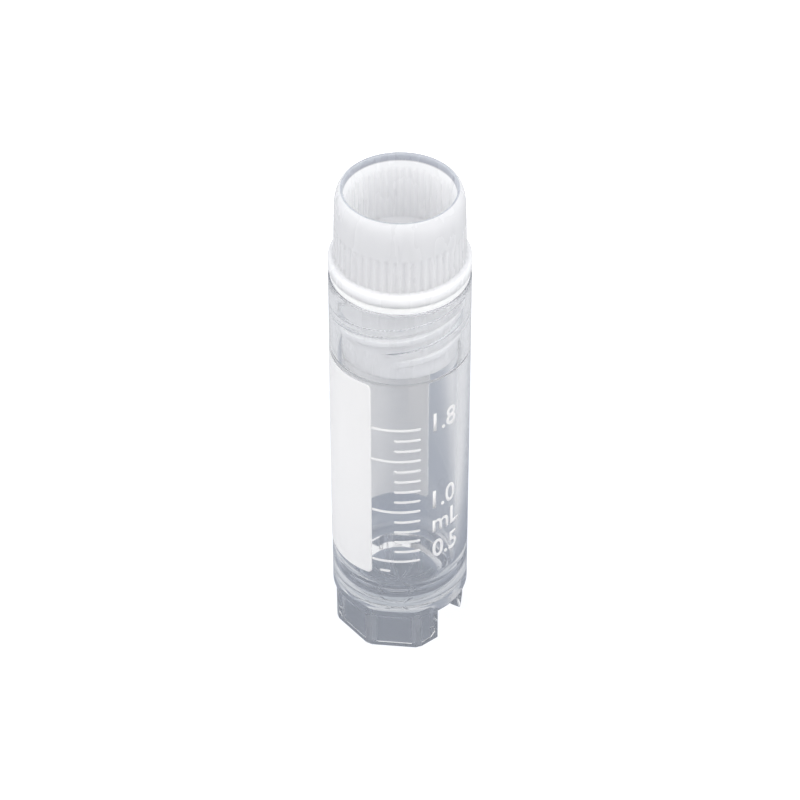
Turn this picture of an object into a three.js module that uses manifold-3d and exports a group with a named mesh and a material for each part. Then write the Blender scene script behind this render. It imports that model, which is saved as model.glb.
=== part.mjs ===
// Self-standing sample vial, 12.5 x 49 mm: a round-bottomed tube on an eight-sided
// foot, closed by a screw cap whose threaded plug goes down inside the tube.
// Millimetres, +Z up, origin at the middle of the foot where the vial stands.
// Azimuth is measured from the front (-Y) towards the right (+X).
import * as THREE from 'three';
import { mergeVertices } from 'three/addons/utils/BufferGeometryUtils.js';
import Module from 'manifold-3d';

const wasm = await Module();
wasm.setup();

// ---- tube ----
const TUBE_RADIUS = 6.25;
const TUBE_HEIGHT = 40;
const TUBE_WALL = 1.12;
const BOTTOM_WALL = 1;
const MOUTH_WALL = 0.7;
const MOUTH_DEPTH = 8;
const MOUTH_STEP = 0.4;
const MOUTH_CHAMFER = 0.15;

// ---- foot ----
const FOOT_HEIGHT = 4.1;
const FOOT_SIDES = 8;
const FOOT_INSET = 0.05;
const FOOT_WALL = 0.98;
const FOOT_CORNER_AZIMUTH = 16.5;
const FOOT_SLOT_WIDTH = 4.6;
const FOOT_SLOT_AZIMUTH = 61.5;
const DOME_DROP = 1.46;

// ---- washer ----
const WASHER_THICKNESS = 0.8;
const WASHER_INSET = 0.15;
const WASHER_PLUG_CLEARANCE = 0.3;

// ---- cap ----
const FLANGE_THICKNESS = 1.2;
const FLANGE_CHAMFER = 0.2;
const FLANGE_LEDGE = 0.47;
const HEAD_HEIGHT = 7;
const HEAD_TAPER = 0.12;
const SHOULDER_WIDTH = 0.62;
const SHOULDER_HEIGHT = 2;
const RECESS_WALL = 0.96;
const RECESS_DEPTH = 6.7;
const RECESS_CHAMFER = 0.22;
const DECK_THICKNESS = 1.2;
const PLUG_MOUTH_CLEARANCE = 0.7;
const PLUG_END_CLEARANCE = 0.3;
const PLUG_WALL = 0.95;
const PLUG_CHAMFER = 0.25;

// ---- flutes of the cap ----
const FLUTE_COUNT = 48;
const RECESS_FLUTE_DEPTH = 0.12;
const GRIP_FLUTE_DEPTH = 0.12;
const GRIP_BAND_HEIGHT = 3.6;

// ---- two-start screw thread between the plug and the mouth of the tube ----
const THREAD_STARTS = 2;
const THREAD_LEAD = 5;
const THREAD_ROOT_HEIGHT = 1.1;
const THREAD_CREST_HEIGHT = 0.5;
const THREAD_ROOT_SINK = 0.2;
const PLUG_CREST_CLEARANCE = 0.15;
const MOUTH_CREST_CLEARANCE = 0.3;
const PLUG_THREAD_AZIMUTH = 0;
const PLUG_THREAD_RISE = 1.1;
const PLUG_THREAD_DROP = 1.5;
const MOUTH_THREAD_RISE = 2.5;
const MOUTH_THREAD_DROP = 0.9;

// ---- printing on the tube ----
const INK_THICKNESS = 0.04;
const PATCH_FOOT_MARGIN = 5.4;
const PATCH_MOUTH_MARGIN = 8.1;
const PATCH_FIRST_AZIMUTH = -208;
const PATCH_LAST_AZIMUTH = -24;
const SCALE_FIRST_VOLUME = 500;
const SCALE_STEP_VOLUME = 100;
const SCALE_LAST_VOLUME = 1800;
const SCALE_MAJOR_VOLUME = 500;
const SCALE_LINE_WIDTH = 0.26;
const SCALE_LONG_FIRST_AZIMUTH = -24;
const SCALE_SHORT_FIRST_AZIMUTH = -5;
const SCALE_LAST_AZIMUTH = 17;

// ---- smoothness ----
const ROUND_SEGMENTS = 48;
const DOME_SEGMENTS = 10;
const SHOULDER_SEGMENTS = 6;
const THREAD_FADE_STEPS = 6;
const JOIN_OVERLAP = 0.2;
const CUT_OVERRUN = 1;

const rad = THREE.MathUtils.degToRad;
const v2 = (x, y) => new THREE.Vector2(x, y);
const stepAngle = 360 / ROUND_SEGMENTS;

// ---- radii that follow from the sizes above ----
const boreRadius = TUBE_RADIUS - TUBE_WALL;
const mouthRadius = TUBE_RADIUS - MOUTH_WALL;
const plugRadius = mouthRadius - PLUG_MOUTH_CLEARANCE;
const headBaseRadius = TUBE_RADIUS - FLANGE_LEDGE;
const headTopRadius = headBaseRadius - HEAD_TAPER;
const recessRadius = headTopRadius - RECESS_WALL;
const footCornerRadius = TUBE_RADIUS - FOOT_INSET;
const footInnerRadius = footCornerRadius * Math.cos(Math.PI / FOOT_SIDES) - FOOT_WALL;

// ---- levels that follow from the sizes above ----
const boreFloor = FOOT_HEIGHT - DOME_DROP + BOTTOM_WALL;
const domeCentre = boreFloor + boreRadius;
const mouthFloor = TUBE_HEIGHT - MOUTH_DEPTH;
const washerTop = TUBE_HEIGHT + WASHER_THICKNESS;
const flangeTop = washerTop + FLANGE_THICKNESS;
const headTop = flangeTop + HEAD_HEIGHT;
const recessFloor = headTop - RECESS_DEPTH;
const deckUnderside = recessFloor - DECK_THICKNESS;
const plugBottom = mouthFloor + PLUG_END_CLEARANCE;

// A point on a circle at an azimuth, seen from above with the front towards -Y.
function around(radius, azimuth) {
  return v2(radius * Math.sin(rad(azimuth)), -radius * Math.cos(rad(azimuth)));
}

// Bare closed triangle mesh of a geometry: shared corners, no empty triangles.
function weld(geometry) {
  const bare = new THREE.BufferGeometry();
  bare.setAttribute('position', geometry.getAttribute('position').clone());
  const source = geometry.getIndex();
  if (source) {
    bare.setIndex(source.clone());
  }
  const merged = mergeVertices(bare, 1e-5);
  const index = merged.getIndex().array;
  const kept = [];
  for (let i = 0; i < index.length; i += 3) {
    const [a, b, c] = [index[i], index[i + 1], index[i + 2]];
    if (a !== b && b !== c && c !== a) {
      kept.push(a, b, c);
    }
  }
  return { position: Float32Array.from(merged.getAttribute('position').array), kept };
}

// Six times the signed volume: negative when the faces point inwards.
function signedVolume(position, index) {
  const corner = (k) => new THREE.Vector3().fromArray(position, 3 * k);
  let total = 0;
  for (let i = 0; i < index.length; i += 3) {
    const normal = corner(index[i + 1]).cross(corner(index[i + 2]));
    total += corner(index[i]).dot(normal);
  }
  return total;
}

// A solid for joining and cutting, with its faces pointing outwards.
function solidOf(geometry) {
  const { position, kept } = weld(geometry);
  const flipped = signedVolume(position, kept) < 0;
  const index = flipped ? kept.slice().reverse() : kept;
  const mesh = new wasm.Mesh({
    numProp: 3,
    vertProperties: position,
    triVerts: Uint32Array.from(index),
  });
  return new wasm.Manifold(mesh);
}

// The geometry of a finished solid.
function geometryOf(solid) {
  const mesh = solid.getMesh();
  const geometry = new THREE.BufferGeometry();
  const position = new THREE.BufferAttribute(Float32Array.from(mesh.vertProperties), 3);
  geometry.setAttribute('position', position);
  geometry.setIndex(new THREE.BufferAttribute(Uint32Array.from(mesh.triVerts), 1));
  geometry.computeVertexNormals();
  return geometry;
}

// A body of revolution about Z from a profile of (radius, height) points.
function revolved(profile) {
  const geometry = new THREE.LatheGeometry(profile, ROUND_SEGMENTS);
  geometry.rotateX(Math.PI / 2);
  return solidOf(geometry);
}

// A straight prism that stands on an outline in the XY plane.
function prism(outline, bottom, top) {
  const shape = new THREE.Shape(outline);
  const geometry = new THREE.ExtrudeGeometry(shape, { depth: top - bottom, bevelEnabled: false });
  geometry.translate(0, 0, bottom);
  return solidOf(geometry);
}

// Quarter of an ellipse between two directions, as profile points.
function arcPoints(centre, radii, fromDegrees, toDegrees, count) {
  const points = [];
  for (let i = 0; i <= count; i += 1) {
    const angle = rad(THREE.MathUtils.lerp(fromDegrees, toDegrees, i / count));
    points.push(v2(centre.x + radii.x * Math.cos(angle), centre.y + radii.y * Math.sin(angle)));
  }
  return points;
}

// One helical ridge: a trapezoid section carried round the axis, fading at both ends.
// Its lowest edge starts at a bottom level and its highest edge stays under a top level.
function helicalRidge(rootRadius, crestRadius, bottom, top, firstAzimuth) {
  const rise = (THREAD_LEAD * stepAngle) / 360;
  const steps = Math.floor((top - bottom - THREAD_ROOT_HEIGHT) / rise + 1e-6);
  const rootHalf = THREAD_ROOT_HEIGHT / 2;
  const crestHalf = THREAD_CREST_HEIGHT / 2;
  const section = 4;
  const vertices = [];
  for (let i = 0; i <= steps; i += 1) {
    const height = bottom + rootHalf + i * rise;
    const fade = Math.min(1, (Math.min(i, steps - i) + 1) / THREAD_FADE_STEPS);
    const root = around(rootRadius, firstAzimuth + i * stepAngle);
    const tip = around(
      THREE.MathUtils.lerp(rootRadius, crestRadius, fade),
      firstAzimuth + i * stepAngle,
    );
    vertices.push(root.x, root.y, height - rootHalf);
    vertices.push(tip.x, tip.y, height - crestHalf);
    vertices.push(tip.x, tip.y, height + crestHalf);
    vertices.push(root.x, root.y, height + rootHalf);
  }
  const index = [0, 1, 2, 0, 2, 3];
  for (let i = 0; i < steps; i += 1) {
    for (let k = 0; k < section; k += 1) {
      const a = i * section + k;
      const b = i * section + ((k + 1) % section);
      index.push(a, a + section, b, b, a + section, b + section);
    }
  }
  const last = steps * section;
  index.push(last, last + 2, last + 1, last, last + 3, last + 2);
  const geometry = new THREE.BufferGeometry();
  geometry.setAttribute('position', new THREE.Float32BufferAttribute(vertices, 3));
  geometry.setIndex(index);
  return solidOf(geometry);
}

// A body with every start of a thread joined to it.
function withThread(body, rootRadius, crestRadius, bottom, top, firstAzimuth) {
  let joined = body;
  for (let start = 0; start < THREAD_STARTS; start += 1) {
    const azimuth = firstAzimuth + (start * 360) / THREAD_STARTS;
    joined = joined.add(helicalRidge(rootRadius, crestRadius, bottom, top, azimuth));
  }
  return joined;
}

// Tube wall, round bottom and mouth, as one body of revolution.
function tubeShell() {
  const outerDome = boreRadius + BOTTOM_WALL;
  const sine = (FOOT_HEIGHT - domeCentre) / outerDome;
  const ringAngle = THREE.MathUtils.radToDeg(Math.asin(sine));
  const centre = v2(0, domeCentre);
  const profile = [
    ...arcPoints(centre, v2(outerDome, outerDome), -90, ringAngle, DOME_SEGMENTS / 2),
    v2(TUBE_RADIUS, FOOT_HEIGHT),
    v2(TUBE_RADIUS, TUBE_HEIGHT - MOUTH_CHAMFER),
    v2(TUBE_RADIUS - MOUTH_CHAMFER, TUBE_HEIGHT),
    v2(mouthRadius + MOUTH_CHAMFER, TUBE_HEIGHT),
    v2(mouthRadius, TUBE_HEIGHT - MOUTH_CHAMFER),
    v2(mouthRadius, mouthFloor),
    v2(boreRadius, mouthFloor - MOUTH_STEP),
    ...arcPoints(centre, v2(boreRadius, boreRadius), 0, -90, DOME_SEGMENTS),
  ];
  profile[0].x = 0;
  profile[profile.length - 1].x = 0;
  return revolved(profile);
}

// Eight-sided skirt under the tube, hollow, with one slot straight across it.
function footSkirt() {
  const outline = [];
  for (let k = 0; k < FOOT_SIDES; k += 1) {
    outline.push(around(footCornerRadius, FOOT_CORNER_AZIMUTH + (k * 360) / FOOT_SIDES));
  }
  const block = prism(outline, 0, FOOT_HEIGHT + JOIN_OVERLAP);
  const hollow = revolved([
    v2(0, -CUT_OVERRUN),
    v2(footInnerRadius, -CUT_OVERRUN),
    v2(footInnerRadius, FOOT_HEIGHT + JOIN_OVERLAP + CUT_OVERRUN),
    v2(0, FOOT_HEIGHT + JOIN_OVERLAP + CUT_OVERRUN),
  ]);
  const cut = FOOT_HEIGHT + CUT_OVERRUN;
  const slot = new THREE.BoxGeometry(FOOT_SLOT_WIDTH, 4 * TUBE_RADIUS, cut);
  slot.translate(0, 0, FOOT_HEIGHT - cut / 2);
  slot.rotateZ(rad(FOOT_SLOT_AZIMUTH));
  return block.subtract(hollow).subtract(solidOf(slot));
}

// Azimuth at which a ridge in the mouth starts, so that it runs midway between
// two ridges of the closed plug.
function mouthThreadAzimuth(bottom) {
  const halfPitch = THREAD_LEAD / THREAD_STARTS / 2;
  const above = bottom - (plugBottom + PLUG_THREAD_RISE) + halfPitch;
  return PLUG_THREAD_AZIMUTH + (360 * above) / THREAD_LEAD;
}

// The moulded tube with its foot and the thread inside its mouth.
function vialTube() {
  const threadBottom = mouthFloor + MOUTH_THREAD_RISE;
  const threaded = withThread(
    tubeShell(),
    mouthRadius + THREAD_ROOT_SINK,
    plugRadius + MOUTH_CREST_CLEARANCE,
    threadBottom,
    TUBE_HEIGHT - MOUTH_THREAD_DROP,
    mouthThreadAzimuth(threadBottom),
  );
  return threaded.add(footSkirt());
}

// A prism whose outline swings between two radii, one swing for each flute.
function flutedPrism(innerRadius, outerRadius, bottom, top) {
  const outline = [];
  for (let k = 0; k < FLUTE_COUNT; k += 1) {
    const azimuth = (k * 360) / FLUTE_COUNT;
    outline.push(around(innerRadius, azimuth));
    outline.push(around(outerRadius, azimuth + 180 / FLUTE_COUNT));
  }
  return prism(outline, bottom, top);
}

// Head, flange and hollow plug of the cap, as one body of revolution.
function capShell() {
  const crestRadius = headTopRadius - SHOULDER_WIDTH;
  const shoulderBase = headTop - SHOULDER_HEIGHT;
  const shoulder = v2(SHOULDER_WIDTH, SHOULDER_HEIGHT);
  const plugInner = plugRadius - PLUG_WALL;
  return revolved([
    v2(0, deckUnderside),
    v2(plugInner, deckUnderside),
    v2(plugInner, plugBottom),
    v2(plugRadius - PLUG_CHAMFER, plugBottom),
    v2(plugRadius, plugBottom + PLUG_CHAMFER),
    v2(plugRadius, washerTop),
    v2(TUBE_RADIUS, washerTop),
    v2(TUBE_RADIUS, flangeTop - FLANGE_CHAMFER),
    v2(TUBE_RADIUS - FLANGE_CHAMFER, flangeTop),
    v2(headBaseRadius, flangeTop),
    ...arcPoints(v2(crestRadius, shoulderBase), shoulder, 0, 90, SHOULDER_SEGMENTS),
    v2(0, headTop),
  ]);
}

// The open recess in the head, fluted along its wall and chamfered at its mouth.
function capRecess() {
  const flutes = flutedPrism(
    recessRadius - RECESS_FLUTE_DEPTH,
    recessRadius,
    recessFloor,
    headTop + CUT_OVERRUN,
  );
  const mouth = revolved([
    v2(0, headTop - RECESS_CHAMFER),
    v2(recessRadius, headTop - RECESS_CHAMFER),
    v2(recessRadius + RECESS_CHAMFER + CUT_OVERRUN, headTop + CUT_OVERRUN),
    v2(0, headTop + CUT_OVERRUN),
  ]);
  return flutes.add(mouth);
}

// What is cut away round the lower part of the head to leave its grip flutes.
function gripGrooves() {
  const outer = headBaseRadius + CUT_OVERRUN;
  const ring = revolved([
    v2(0, flangeTop),
    v2(outer, flangeTop),
    v2(outer, flangeTop + GRIP_BAND_HEIGHT),
    v2(0, flangeTop + GRIP_BAND_HEIGHT),
  ]);
  const kept = flutedPrism(
    headBaseRadius - GRIP_FLUTE_DEPTH,
    headBaseRadius,
    flangeTop - CUT_OVERRUN,
    flangeTop + GRIP_BAND_HEIGHT + CUT_OVERRUN,
  );
  return ring.subtract(kept);
}

// The moulded screw cap with its thread, its grip flutes and its open recess.
function screwCap() {
  const threaded = withThread(
    capShell(),
    plugRadius - THREAD_ROOT_SINK,
    mouthRadius - PLUG_CREST_CLEARANCE,
    plugBottom + PLUG_THREAD_RISE,
    TUBE_HEIGHT - PLUG_THREAD_DROP,
    PLUG_THREAD_AZIMUTH,
  );
  return threaded.subtract(gripGrooves()).subtract(capRecess());
}

// Flat soft ring that seals between the flange and the mouth of the tube.
function sealingWasher() {
  const inner = plugRadius + WASHER_PLUG_CLEARANCE;
  const outer = TUBE_RADIUS - WASHER_INSET;
  return revolved([
    v2(inner, TUBE_HEIGHT),
    v2(outer, TUBE_HEIGHT),
    v2(outer, washerTop),
    v2(inner, washerTop),
    v2(inner, TUBE_HEIGHT),
  ]);
}

// Distance of the faceted tube wall from the axis at an azimuth.
function wallRadius(azimuth) {
  const half = stepAngle / 2;
  const within = THREE.MathUtils.euclideanModulo(azimuth, stepAngle) - half;
  return (TUBE_RADIUS * Math.cos(rad(half))) / Math.cos(rad(within));
}

// Azimuths from one end of a printed field to the other, with every wall edge between.
function wallAzimuths(first, last) {
  const azimuths = [first];
  const firstEdge = Math.floor(first / stepAngle + 1e-6) + 1;
  for (let k = firstEdge; k * stepAngle < last - 1e-6; k += 1) {
    azimuths.push(k * stepAngle);
  }
  azimuths.push(last);
  return azimuths;
}

// A thin printed field that lies on the facets of the tube wall.
function inkField(firstAzimuth, lastAzimuth, bottom, top) {
  const azimuths = wallAzimuths(firstAzimuth, lastAzimuth);
  const growth = (TUBE_RADIUS + INK_THICKNESS) / TUBE_RADIUS;
  const outer = azimuths.map((a) => around(wallRadius(a) * growth, a));
  const inner = azimuths.map((a) => around(wallRadius(a), a)).reverse();
  return prism([...outer, ...inner], bottom, top);
}

// The blank field for writing on, round the left side and the back of the tube.
function writingPatch() {
  return inkField(
    PATCH_FIRST_AZIMUTH,
    PATCH_LAST_AZIMUTH,
    FOOT_HEIGHT + PATCH_FOOT_MARGIN,
    TUBE_HEIGHT - PATCH_MOUTH_MARGIN,
  );
}

// Height above the foot at which the tube holds a volume in cubic millimetres.
function fillHeight(volume) {
  const domeVolume = (2 / 3) * Math.PI * boreRadius ** 3;
  const area = Math.PI * boreRadius ** 2;
  return domeCentre + (volume - domeVolume) / area;
}

// One line of the volume scale: a long one at each half millilitre and at the last.
function scaleLine(volume) {
  const major = volume % SCALE_MAJOR_VOLUME === 0 || volume === SCALE_LAST_VOLUME;
  const first = major ? SCALE_LONG_FIRST_AZIMUTH : SCALE_SHORT_FIRST_AZIMUTH;
  const height = fillHeight(volume);
  const half = SCALE_LINE_WIDTH / 2;
  return inkField(first, SCALE_LAST_AZIMUTH, height - half, height + half);
}

// Volumes that get a line: those marked on the straight wall between the round bottom and the rim.
function scaleVolumes() {
  const volumes = [];
  for (let volume = SCALE_FIRST_VOLUME; volume <= SCALE_LAST_VOLUME; volume += SCALE_STEP_VOLUME) {
    const height = fillHeight(volume);
    if (height > domeCentre && height + SCALE_LINE_WIDTH < TUBE_HEIGHT - MOUTH_CHAMFER) {
      volumes.push(volume);
    }
  }
  return volumes;
}

const clearPlastic = new THREE.MeshStandardMaterial({
  color: 0xc9d0dc,
  roughness: 0.2,
  metalness: 0,
  transparent: true,
  opacity: 0.45,
});
const milkyPlastic = new THREE.MeshStandardMaterial({
  color: 0xdcdde2,
  roughness: 0.35,
  metalness: 0,
});
const silicone = new THREE.MeshStandardMaterial({ color: 0xf1f1f3, roughness: 0.6, metalness: 0 });
const whiteInk = new THREE.MeshStandardMaterial({ color: 0xf3f4f7, roughness: 0.5, metalness: 0 });

const vial = new THREE.Group();
function addPart(name, solid, material) {
  const mesh = new THREE.Mesh(geometryOf(solid), material);
  mesh.name = name;
  vial.add(mesh);
}

addPart('vial_tube', vialTube(), clearPlastic);
addPart('writing_patch', writingPatch(), whiteInk);
for (const volume of scaleVolumes()) {
  const label = String(Math.round(volume / 10)).padStart(3, '0');
  addPart(`scale_line_${label}`, scaleLine(volume), whiteInk);
}
addPart('sealing_washer', sealingWasher(), silicone);
addPart('screw_cap', screwCap(), milkyPlastic);

export default vial;
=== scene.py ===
"""Looks of a cryogenic vial: clear moulded tube with an eight-sided foot, milky screw cap with an
open fluted recess, white silicone sealing ring, and white printing on the tube.

Each new piece is a surface worked out on a grid of height rows and azimuth columns. Sizes are in
millimetres and azimuths in degrees, counted from the front (-Y) anticlockwise seen from above.
"""
import math

import bmesh
import bpy
import numpy as np
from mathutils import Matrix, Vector


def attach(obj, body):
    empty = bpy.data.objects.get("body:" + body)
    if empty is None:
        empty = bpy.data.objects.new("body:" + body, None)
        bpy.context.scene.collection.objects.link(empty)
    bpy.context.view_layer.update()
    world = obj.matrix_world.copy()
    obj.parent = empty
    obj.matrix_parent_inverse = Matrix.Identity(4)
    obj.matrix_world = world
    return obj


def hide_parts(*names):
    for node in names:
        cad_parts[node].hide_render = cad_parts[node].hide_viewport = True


MM = 0.001

# Tube: the step is the slope from the mouth down to the bore, and the dome is its round bottom.
TUBE_RADIUS = 6.25
TUBE_HEIGHT = 40.0
BORE_RADIUS = 5.13
MOUTH_RADIUS = 5.55
MOUTH_FLOOR = 32.0
MOUTH_STEP = 0.4
STEP_ROUNDING = 0.03
STEP_EDGE = 0.04
RIM_ROUNDING = 0.15
LEDGE_ROUNDING = 0.1
DOME_CENTRE = 8.77
DOME_WALL = 1.0
MOUTH_ROW_STEP = 0.055

# Foot: a skirt with eight flat sides, hollow and eight-sided inside, cut by one slot right across.
FOOT_HEIGHT = 4.1
FOOT_INNER_FLAT = 4.6
FOOT_FLAT_DISTANCE = 5.728
FOOT_CORNER_AZIMUTH = 16.5
FOOT_LAND_HALF_ANGLE = 3.0
SLOT_WIDTH = 4.6
SLOT_AZIMUTH = 61.5
SLOT_EDGE_ANGLE = 22.5
SIDE_ANGLE = 45.0
# Inner half of the skirt's section: share of the skirt's width from inside, and height.
FOOT_HALF_SECTION = [(0, FOOT_HEIGHT), (0, 4.0), (0, 2.2), (0, 0.3),
                     (0, 0.16), (0.04, 0.05), (0.14, 0), (0.2, 0)]

# Cap: plug inside the tube, flange, and head with an open recess. The recess has a thin plain lip,
# a ledge under it, and ridges that are full some way below the lip's foot.
PLUG_RADIUS = 5.1
PLUG_INNER_RADIUS = 3.9
PLUG_BOTTOM = 32.15
PLUG_ROW_STEP = 0.075
DECK_UNDERSIDE = 41.1
WASHER_TOP = 40.8
FLANGE_TOP = 42.0
HEAD_TOP = 49.0
HEAD_BASE_RADIUS = 5.78
HEAD_TOP_RADIUS = 5.66
HEAD_FOOT_CHAMFER = 0.12
SHOULDER_WIDTH = 0.62
SHOULDER_HEIGHT = 2.0
RECESS_RADIUS = 4.70
RECESS_FLOOR = 42.3
RECESS_DRAFT = 0.03
LIP_RADIUS = 4.90
LIP_FOOT = 48.3
LEDGE_BELOW_LIP = 0.45
FLUTE_COUNT = 48
FLUTE_DEPTH = 0.12
FULL_BELOW_LIP = 0.9
GRIP_DEPTH = 0.08
GRIP_BAND_TOP = 45.6
GRIP_FADE = 0.5

# Sealing ring
RING_INNER_RADIUS = 5.15
RING_OUTER_RADIUS = 6.12
RING_ROUNDING = 0.16

# Threads: height of the helix at the front, lowest and highest height of the ridge's middle, and
# half its width at root and crest.
LEAD = 5.0
STARTS = 2
THREAD_FADE = 0.65
MOUTH_THREAD = (32.70, 34.95, 38.65, 0.47, 0.24)
MOUTH_RIDGE = 0.4
PLUG_THREAD = (33.95, 33.85, 38.05, 0.48, 0.25)
PLUG_RIDGE = 0.3

# Printing: volumes in cubic millimetres, azimuths where the lines and figures start and end
INK_RADIUS = 6.274
INK_THICKNESS = 0.04
PATCH_AZIMUTHS = (-210.5, -24.0)
PATCH_HEIGHTS = (9.5, 31.9)
PATCH_ROUNDING = 0.5
SCALE_VOLUMES = range(500, 1801, 100)
SCALE_LONG_STEP = 500
SCALE_LINE_WIDTH = 0.26
SCALE_LINE_ROUNDING = 0.12
SCALE_LONG_FIRST = -24.0
SCALE_SHORT_FIRST = -5.0
SCALE_LAST = 17.0
DASH_VOLUME = 400
DASH_AZIMUTHS = (-17.0, -8.0)
FIGURE_AZIMUTH = 28.0
FIGURE_HEIGHT = 2.1
FIGURE_WIDTH_SHARE = 0.86
FIGURE_STRIP = 0.06
# Words, the volume they stand beside, and how far their foot is below its line.
FIGURES = [("1.8", 1800, 0.75), ("1.0", 1000, 0.2), ("mL", 1000, 3.1), ("0.5", 500, 0.2)]

# Painted light and shade on the cap: (height, grey) along the whole cap, on a ramp from 0 to the
# ramp's top, with the flange painted lighter as if lit and the plug and head darker; and
# inside it (colour, the radius it stays within, lowest and highest height): a painted dark shade on
# the lip's inner wall, and the recess wall and floor painted lighter as if lit.
PAINTED_SHADE_RAMP_TOP = 50.0
CAP_PAINTED_LIGHT_AND_SHADE = [(39.9, 0.70), (40.1, 0.87), (42.0, 0.87), (42.2, 0.67)]
RECESS_PAINTED_LIGHT_AND_SHADE = [((0.40, 0.415, 0.45), LIP_RADIUS + 0.2, LIP_FOOT + 0.03, HEAD_TOP + 1),
               ((0.89, 0.89, 0.885), LIP_RADIUS - 0.03, RECESS_FLOOR + 0.2, HEAD_TOP + 1),
               ((1.0, 1.0, 1.0), RECESS_RADIUS, RECESS_FLOOR - 0.2, RECESS_FLOOR + 0.2)]

# Clear plastic: angles from a corner of the foot where its roughness starts and is full, how far
# past the step and within what radius the step's open band reaches, and how many times light may
# turn inside the wall.
CORNER_FROST_ANGLES = (FOOT_LAND_HALF_ANGLE + 0.4, FOOT_LAND_HALF_ANGLE - 0.6)
CORNER_FROST_TOP = FOOT_HEIGHT - 0.3
OPEN_STEP_MARGIN = 0.03
OPEN_STEP_RADIUS = MOUTH_RADIUS + 0.1
LONGEST_WAY = 4.5

# Skin of moulded plastic: scales per metre, relief in metres
MARK_SCALE = 900
MARK_STRETCH = 0.06
GLOSS_PATCH_SCALE = 220
GLOSS_PATCH_SPREAD = (0.1, 0.42)
RELIEF_DEPTH = 0.00002

# Stage: lengths in metres, power in watts. The floor carries a painted shadow of the vial: it is
# darker within the first two distances from the middle and paler beyond the next two. The world
# fades between two shares of the brightest way.
FLOOR_HALF_SIZE = 3.0
SHADOW_PAINT_SHARE = 0.72
SHADOW_PAINT_DISTANCES = (0.0063, 0.0095)
SHADOW_PAINT_SIDE_DISTANCES = (0.0115, 0.021)
SHADOW_PAINT_DEPTH_SCALE = 0.3
BRIGHTEST_WAY = (0.0, -0.9, 0.44)
WORLD_FADE = (-0.3, 0.6)
LIGHT_TARGET = (0, 0, 0.03)
LIGHTS = [("key_light", (0.05, -0.45, 0.45), 0.62, 1.3),
          ("left_light", (-0.46, -0.12, 0.28), 0.55, 1.15),
          ("right_light", (0.46, -0.12, 0.28), 0.55, 1.15)]
CAMERA_ELEVATION = 40.69
CAMERA_DISTANCE = 0.2874
CAMERA_TARGET_HEIGHT = 0.024
CAMERA_LENS = 144.1
CAMERA_SENSOR = 36
CAMERA_SHIFT = 0.0145


def smooth_step(value, low, high):
    """Rises from 0 to 1 between two values along 3t^2 - 2t^3."""
    share = np.clip((value - low) / (high - low), 0, 1)
    return share * share * (3 - 2 * share)


def on_ring(radius, azimuth, height):
    """Points in millimetres: x = r sin a, y = -r cos a, z = height."""
    turn = np.radians(azimuth)
    return np.stack([radius * np.sin(turn), -radius * np.cos(turn), height + 0 * turn], axis=-1)


def wall_rows(radius, azimuth, heights):
    """Rows of a wall with a radius for each height and azimuth."""
    return list(on_ring(radius, azimuth[None, :], heights[:, None]))


def lathe_rows(profile, azimuth):
    """A profile of (radius, height) carried once round the axis."""
    return [on_ring(r, azimuth, z) for r, z in profile]


def lattice(rows, columns, closed=True):
    """Corner numbers of the quads between neighbouring rows and columns of a grid."""
    last = columns if closed else columns - 1
    row, column = np.meshgrid(np.arange(rows - 1), np.arange(last), indexing="ij")
    after = (column + 1) % columns
    here = row * columns
    above = here + columns
    quads = np.stack([here + column, here + after, above + after, above + column], axis=-1)
    return quads.reshape(-1, 4)


def piece_of(name, points, faces, sharp_angle=38):
    """A mesh object from points in millimetres, with doubles merged and smooth shading."""
    mesh = bpy.data.meshes.new(name)
    mesh.from_pydata((points.reshape(-1, 3) * MM).tolist(), [], faces.tolist())
    work = bmesh.new()
    work.from_mesh(mesh)
    bmesh.ops.remove_doubles(work, verts=work.verts, dist=2e-7)
    bmesh.ops.dissolve_degenerate(work, dist=1e-7, edges=work.edges)
    work.to_mesh(mesh)
    work.free()
    mesh.shade_smooth()
    mesh.set_sharp_from_angle(angle=math.radians(sharp_angle))
    piece = bpy.data.objects.new(name, mesh)
    bpy.context.scene.collection.objects.link(piece)
    return piece


def turned_piece(name, rows, sharp_angle=38):
    """A piece from rows that each go once round the axis."""
    points = np.stack(rows)
    return piece_of(name, points, lattice(*points.shape[:2]), sharp_angle)


def arc(centre, radii, first, last, count):
    """Points on a circle, or on an ellipse if two radii are given: centre + (a cos t, b sin t),
    t from first to last in degrees."""
    across, up = np.broadcast_to(radii, 2)
    turn = np.radians(np.linspace(first, last, count))
    return np.stack([centre[0] + across * np.cos(turn), centre[1] + up * np.sin(turn)], -1)


def line(start, end, count):
    """Points evenly spaced from start to end, both included."""
    return np.linspace(start, end, count)


def beside_edges(points, share=0.02):
    """The same points with one more close to each end, which keeps the shading of a long straight
    stretch true up to its edges."""
    first = points[:1] + (points[-1] - points[0]) * share
    last = points[-1:] - (points[-1] - points[0]) * share
    return np.concatenate([points[:1], first, points[1:-1], last, points[-1:]])


def thread_rise(height, azimuth, first, low, high, root_half, crest_half):
    """How far a two-start ridge stands out, from 0 to 1: a smooth step over the distance from the
    helix z = first + lead a / 360, taken modulo the pitch, faded where the ridge starts and ends."""
    pitch = LEAD / STARTS
    along = first + LEAD * azimuth / 360
    offset = (height - along + pitch / 2) % pitch - pitch / 2
    centre = height - offset
    flank = smooth_step(root_half - np.abs(offset), 0, root_half - crest_half)
    start = np.clip((centre - low) / THREAD_FADE, 0, 1)
    end = np.clip((high - centre) / THREAD_FADE, 0, 1)
    return flank * np.minimum(start, end)


def threaded_wall(radius, ridge, thread, azimuth, heights):
    """Rows of a wall whose thread's ridge stands outwards from its radius, or inwards where the
    ridge is less than 0."""
    rise = thread_rise(heights[:, None], azimuth[None, :], *thread)
    return wall_rows(radius + ridge * rise, azimuth, heights)


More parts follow.
